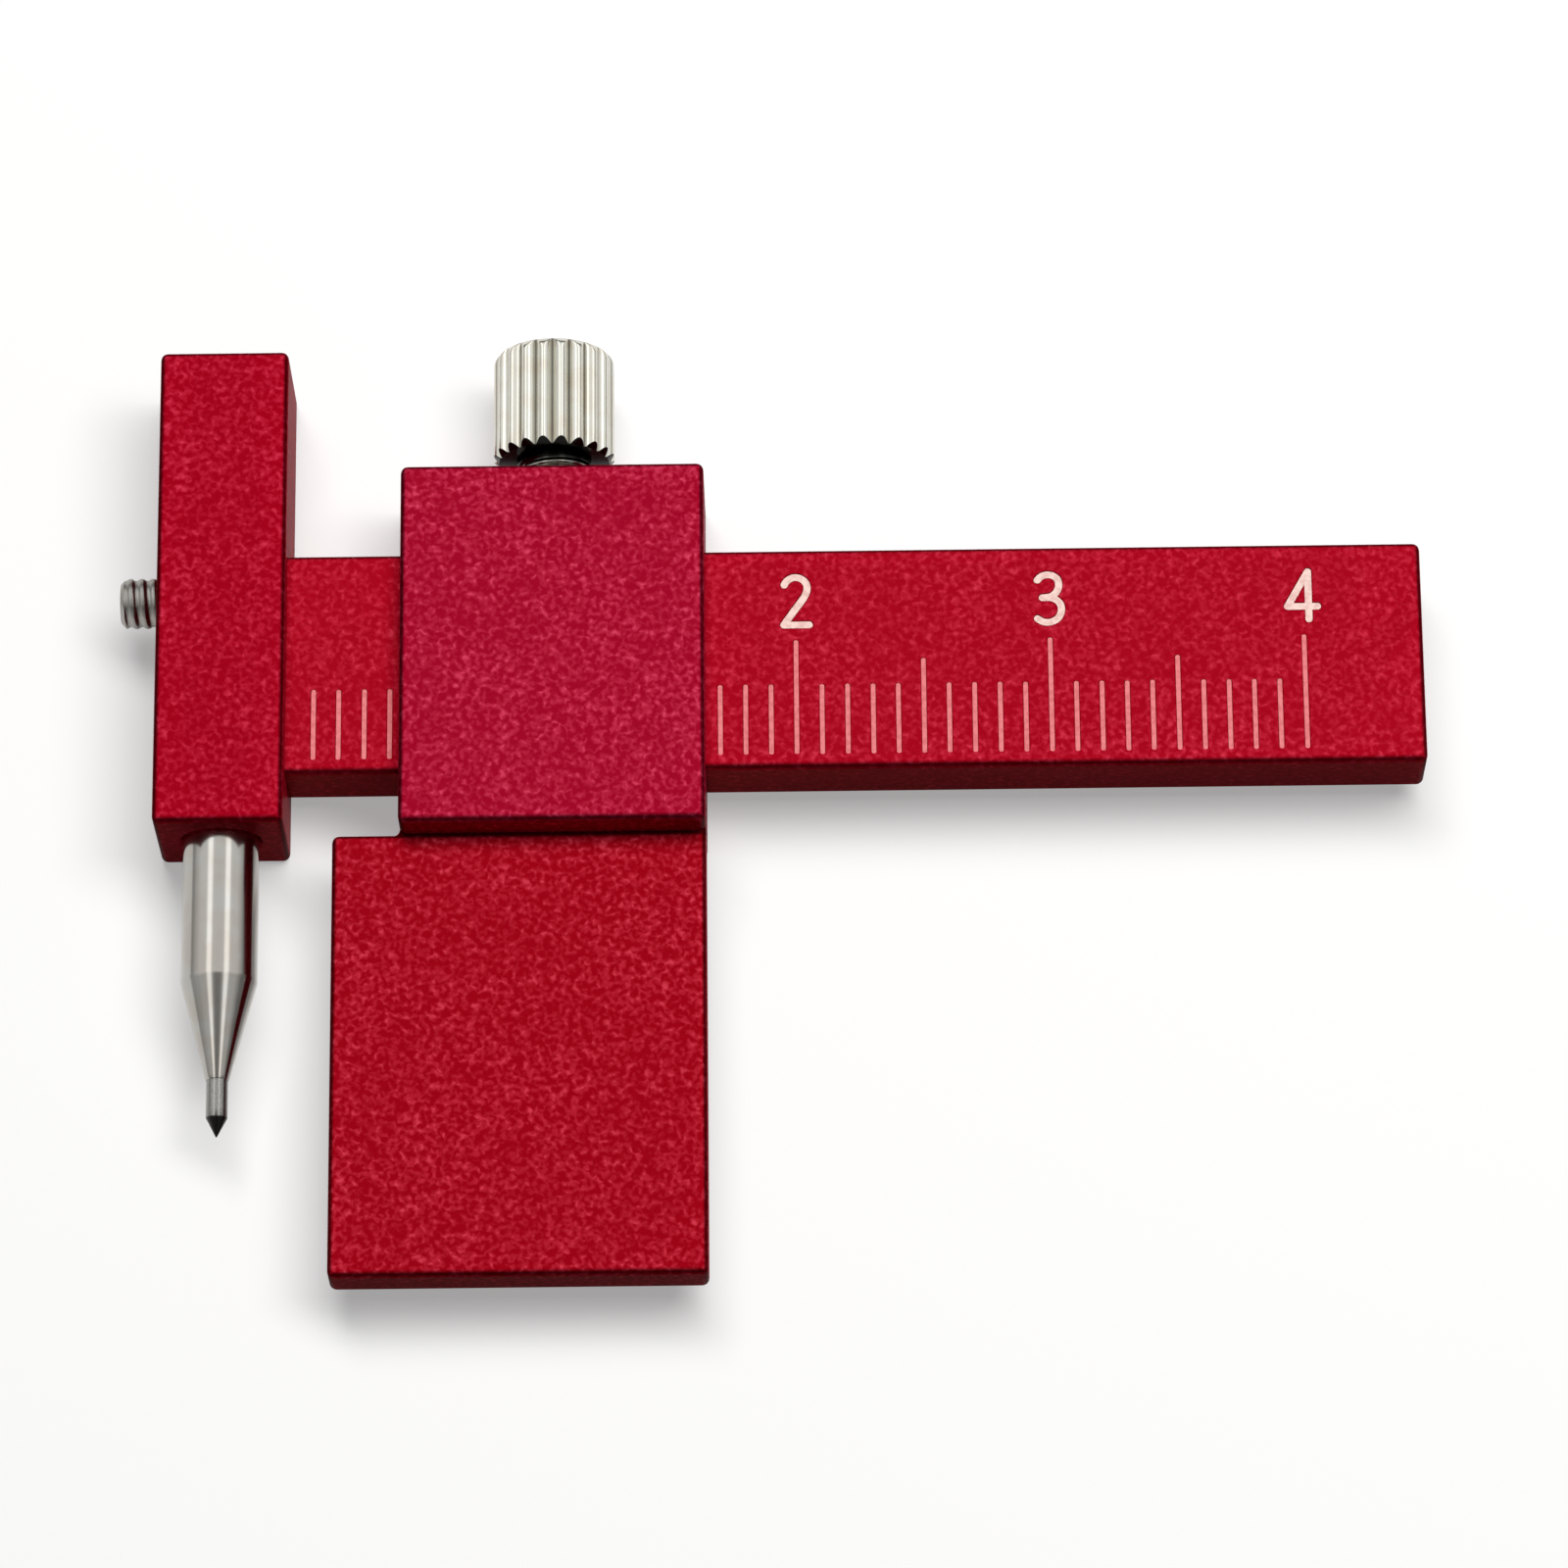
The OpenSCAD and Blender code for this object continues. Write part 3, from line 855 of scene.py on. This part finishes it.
class RULER_OT_scriber(bpy.types.Operator):
    """Turns the scriber's shank and its carbide rod"""
    bl_idname = "ruler.scriber"
    bl_label = "Scriber"

    def execute(self, context):
        steel = context.scene.ruler.steel
        shank, rod = Box("scriber_shank"), Box("carbide_point")
        radius, thin = shank.size.x / 2, rod.size.x / 2
        tall, seat = shank.size.y, rod.high.y - shank.low.y
        nose, nose_bevel, top_bevel = 0.46, 0.04, 0.3    # nose is the cone's small end
        foot, cone = -0.36, 3.65    # heights of the cone's ends above the foot of the CAD shank
        crisp = 0.007    # a row so narrow keeps the edge above the cone crisp
        outline = path((thin, foot), (nose - nose_bevel / 2, foot), (nose, foot + nose_bevel),
                       24, (radius, cone), (radius, cone + crisp), 40,
                       (radius, tall - top_bevel), (radius - top_bevel, tall), (0.0, tall),
                       (0.0, seat), (thin, seat), (thin, foot))
        material = turned_metal("turned steel", steel.steel_colour, 0.15, 1, 22.0)
        mesh = placed(turned(outline, material), Y_AXIS,
                      (shank.mid.x, shank.low.y, shank.mid.z))
        finish("scriber_pin", mesh, material, "scriber", "turned_steel", "scriber_shank")

        point, blunt, long = 0.8, 0.03, rod.size.y    # the ground point's height and flat tip
        outline = path((0.0, 0.0), (blunt, blunt), 10, (thin, point), 12, (thin, long),
                       (0.0, long))
        material = carbide(steel.carbide_colour, rod.low.y + point)
        mesh = placed(turned(outline, material, Steps=64), Y_AXIS,
                      (shank.mid.x, rod.low.y, shank.mid.z))
        finish("carbide_rod", mesh, material, "scriber", "carbide", "carbide_point")
        return {"FINISHED"}


class RULER_OT_set_screw(bpy.types.Operator):
    """Makes the set screw with its thread and hexagon socket"""
    bl_idname = "ruler.set_screw"
    bl_label = "Set screw"

    def execute(self, context):
        steel = context.scene.ruler.steel
        screw = Box("set_screw")
        radius, long, bevel = screw.size.y / 2, screw.size.x, 0.2
        outline = path((0.0, 0.0), (radius - bevel, 0.0), 6, (radius, bevel), 110,
                       (radius, long - bevel), 6, (radius - bevel, long), (0.0, long))
        material = turned_metal("set screw steel", steel.screw_colour, 0.32, 0, 14.0)
        mesh = turned(outline, material, Steps=96, Thread_Radius=radius, Thread_Depth=0.075,
                      Thread_Pitch=steel.set_pitch * MM, Thread_Start=-PAST,
                      Thread_End=long + PAST)
        corner = steel.socket_flats * MM / 2 / math.cos(math.pi / 6)
        depth, drill_tip = 1.0, 0.2    # the hexagon's depth and the cone that the drill left
        socket = lathe([(0, -PAST), (corner, -PAST), (corner, depth), (0, depth + drill_tip)], 6)
        mesh = placed(cut_from(mesh, socket), X_AXIS, (screw.low.x, screw.mid.y, screw.mid.z))
        finish("set_screw_threaded", mesh, material, "set_screw", "turned_steel", "set_screw")
        return {"FINISHED"}


class RULER_OT_thumb_screw(bpy.types.Operator):
    """Makes the thumb screw: knurled head, threaded stud and turned tip"""
    bl_idname = "ruler.thumb_screw"
    bl_label = "Thumb screw"

    def execute(self, context):
        steel = context.scene.ruler.steel
        screw, slider, pad = Box("thumb_screw"), Box("slider_body"), Box("pressure_pad")
        bevel, ridge = steel.knob_foot_bevel * MM, steel.ridge_height * MM
        radius, stud = screw.size.x / 2, pad.size.x / 2 + PAD_GAP
        tip, tip_bevel, stud_bevel = 0.7, 0.05, 0.2
        neck, neck_depth, flank = 0.1, 0.25, 0.0582    # the groove under the head
        dish, dish_radius, dish_bevel = 0.04, 0.85, 0.05    # a shallow dish in the head's top
        foot = slider.high.y + KNOB_GAP - screw.low.y
        shoulder = pad.high.y + PRESS_GAP - screw.low.y
        top, rounding = screw.size.y, steel.knob_top_radius * MM
        # The points just inside the edges of flat faces keep these faces flat
        outline = path(
            (0.0, 0.0), (tip - tip_bevel, 0.0), (tip, tip_bevel), (tip, shoulder),
            (stud - stud_bevel, shoulder), (stud, shoulder + stud_bevel), 89,
            (stud, foot - neck - flank), (stud - neck_depth, foot - neck),
            (stud - neck_depth, foot), (radius - 1.0, foot), (radius - bevel - 0.25, foot),
            (radius - bevel, foot), 10, (radius, foot + bevel), 8,
            *arc((radius - rounding, top - rounding), rounding, 12),
            (radius - rounding - 0.3, top), (dish_radius + dish_bevel, top),
            (dish_radius, top - dish), (0.0, top - dish))
        axis = (screw.mid.x, screw.mid.z)
        # painted shade for the thumb screw: darker knurl valleys and a dark underside
        shade = knurl_shade(axis, radius, ridge, screw.low.y + foot, bevel, stud)
        material = turned_metal("thumb screw steel", steel.knob_colour, 0.16, 1, 9.0, shade)
        mesh = turned(outline, material, Steps=480, Ridges=steel.ridges, Ridge_Radius=radius,
                      Ridge_Height=ridge, Thread_Radius=stud, Thread_Depth=0.28,
                      Thread_Pitch=steel.stud_pitch * MM, Thread_Start=shoulder,
                      Thread_End=foot - neck)
        mesh.transform(Matrix.Rotation(math.pi / steel.ridges, 4, "Z"))
        mesh = placed(mesh, Y_AXIS, (axis[0], screw.low.y, axis[1]))
        finish("thumb_screw_turned", mesh, material, "thumb_screw", "turned_steel",
               "thumb_screw")
        return {"FINISHED"}


class RULER_OT_pressure_pad(bpy.types.Operator):
    """Gives the pressure pad its brass"""
    bl_idname = "ruler.pressure_pad"
    bl_label = "Pressure pad"

    def execute(self, context):
        brass = context.scene.ruler.steel.brass_colour
        material = turned_metal("turned brass", brass, 0.3, 1, 20.0)
        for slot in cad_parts["pressure_pad"].material_slots:
            slot.material = material
        return {"FINISHED"}


# The stage

def sky(settings):
    """Dim light all round, white behind the object, and the studio that metal shows.

    A direction is told by two angles in degrees: lean, backwards from straight up, and aside,
    to either side. Metal shows a wide panel overhead with two brighter tubes in it. In front
    the panel is dimmer and has a dark slot. Round it goes a dim surround with a lift at the
    far left, and a lower panel in front lights the metal in views from behind.
    """
    world = bpy.data.worlds.new("studio")
    world.use_nodes = True
    make = TreeMaker(world.node_tree)
    x, y, z = make.separate(make.add("ShaderNodeTexCoord").outputs["Generated"])
    lean = make.result("DEGREES", make.result("ARCTAN2", y, z))
    aside = make.result("DEGREES", make.absolute(make.result("ARCSINE", x)))
    along = make.times(make.ramp(lean, -38.0, -20.0), make.ramp(lean, 75.0, 50.0))
    across = make.times(make.ramp(aside, 80.0, 50.0), make.ramp(lean, -4.0, 8.0, 0.62, 1.0))
    panel = make.times(along, across)
    slot = make.times(make.ramp(lean, 8.0, -4.0), make.ramp(aside, 20.0, 6.0))
    off_tube = make.absolute(make.minus(aside, 25.0))
    tube = make.times(along, make.ramp(off_tube, 9.0, 5.0))
    surround = make.times(make.ramp(lean, -60.0, -35.0, 0.1, 1.0), settings.surround)
    shown = make.blend(panel, settings.panel - settings.surround, surround)
    shown = make.blend(make.ramp(x, -0.85, -0.97), 0.25, shown)
    shown = make.times(shown, make.blend(slot, -0.55, 1.0))
    shown = make.blend(make.ramp(lean, -44.0, -58.0), 0.45, shown)
    shown = make.blend(tube, settings.tubes, shown)
    ray = make.add("ShaderNodeLightPath").outputs
    behind = make.most(ray["Is Camera Ray"], ray["Is Transmission Ray"])
    ambient = settings.ambient
    level = make.blend(ray["Is Glossy Ray"], make.minus(shown, ambient), ambient)
    background = make.tree.nodes["Background"].inputs
    make.give(background["Strength"], make.blend(behind, 1.0 - ambient, level))
    make.give(background["Color"], opaque((1.0, 1.0, 1.0)))
    return world


def floor_material(settings):
    """Pale floor that keeps shadows and throws little light back under the object.

    A share of it glows for the camera and in metal, which makes the shadows lighter. Far from
    the object all of it does, so that it meets the white background.
    """
    dull = 0.06    # the floor's grey for the light that it throws back
    near, far = 80.0, 450.0    # the glow rises to the full between these distances
    make = Finish("pale floor")
    make.tree.nodes.remove(make.shader)
    ray = make.add("ShaderNodeLightPath").outputs
    seen = make.most(ray["Is Camera Ray"], make.most(
        ray["Is Glossy Ray"], ray["Is Transmission Ray"]))
    colour = make.mix(seen, opaque((dull, dull, dull)), opaque(settings.floor_colour))
    share = make.ramp(make.length(make.place), near, far, settings.floor_glow, 1.0)
    both = make.made("ShaderNodeMixShader", {
        0: share, 1: make.made("ShaderNodeBsdfDiffuse", {"Color": colour}),
        2: make.made("ShaderNodeEmission", {"Strength": seen})})
    make.give(make.tree.nodes["Material Output"].inputs["Surface"], both)
    return make.material


class RULER_OT_stage(bpy.types.Operator):
    """Sets the floor, the lamp and the camera"""
    bl_idname = "ruler.stage"
    bl_label = "Stage"

    def execute(self, context):
        scene, settings = context.scene, context.scene.ruler.stage
        radius, drop = 1.5, 0.00002    # the floor's, in metres
        work = bmesh.new()
        bmesh.ops.create_circle(work, cap_ends=True, segments=96, radius=radius,
                                matrix=Matrix.Translation((0, 0, -drop)))
        floor = helper(mesh_from_bmesh(work))
        floor.name = "floor"
        floor.data.materials.append(floor_material(settings))
        scene.world = sky(settings)

        light = bpy.data.lights.new("key", "AREA")
        light.energy = settings.key_power
        light.color = (1.0, 0.995, 0.985)
        light.shape = "RECTANGLE"
        light.size, light.size_y = 0.60, 0.19    # in metres
        key = bpy.data.objects.new("key", light)
        lean = settings.key_lean
        place = settings.key_reach * Vector((0, math.sin(lean), math.cos(lean)))
        key.location = place + Vector((settings.key_shift, 0, 0))
        key.rotation_euler = (-key.location).to_track_quat("-Z", "Y").to_euler()
        key.visible_glossy = False

        camera = bpy.data.cameras.new("camera")
        camera.sensor_width = 36.0
        camera.lens = settings.lens
        camera.clip_start = 0.01
        eye = bpy.data.objects.new("camera", camera)
        eye.location = settings.eye_place
        eye.rotation_euler = settings.eye_turn
        for obj in (key, eye):
            context.collection.objects.link(obj)
        scene.camera = eye
        scene.view_settings.view_transform = "Standard"
        return {"FINISHED"}


# Panel and registration

PIECES = [RULER_OT_head_block, RULER_OT_beam, RULER_OT_scale_paint, RULER_OT_slider,
          RULER_OT_fence, RULER_OT_scriber, RULER_OT_set_screw, RULER_OT_thumb_screw,
          RULER_OT_pressure_pad, RULER_OT_stage]


class RULER_PT_panel(bpy.types.Panel):
    """Lists the ruler's pieces and settings in the 3D view's sidebar"""
    bl_idname = "RULER_PT_panel"
    bl_label = "Scribing ruler"
    bl_space_type = "VIEW_3D"
    bl_region_type = "UI"
    bl_category = "Ruler"

    def draw(self, context):
        for piece in PIECES:
            self.layout.operator(piece.bl_idname)
        for title in RulerSettings.__annotations__:
            group = getattr(context.scene.ruler, title)
            part = self.layout.box()
            part.label(text=title.capitalize())
            for name in group.__annotations__:
                part.prop(group, name)


CLASSES = [AnodisedSettings, ScaleSettings, SteelSettings, StageSettings, RulerSettings,
           *PIECES, RULER_PT_panel]


def register():
    """Adds the classes and the scene's settings."""
    for cls in CLASSES:
        bpy.utils.register_class(cls)
    bpy.types.Scene.ruler = PointerProperty(type=RulerSettings)


def unregister():
    """Takes the settings and the classes away again."""
    del bpy.types.Scene.ruler
    for cls in reversed(CLASSES):
        bpy.utils.unregister_class(cls)


def main():
    """Builds every piece and the stage."""
    register()
    bpy.ops.ruler.head_block()
    bpy.ops.ruler.beam()
    bpy.ops.ruler.scale_paint()
    bpy.ops.ruler.slider()
    bpy.ops.ruler.fence()
    bpy.ops.ruler.scriber()
    bpy.ops.ruler.set_screw()
    bpy.ops.ruler.thumb_screw()
    bpy.ops.ruler.pressure_pad()
    bpy.ops.ruler.stage()


if __name__ == "__main__":
    main()
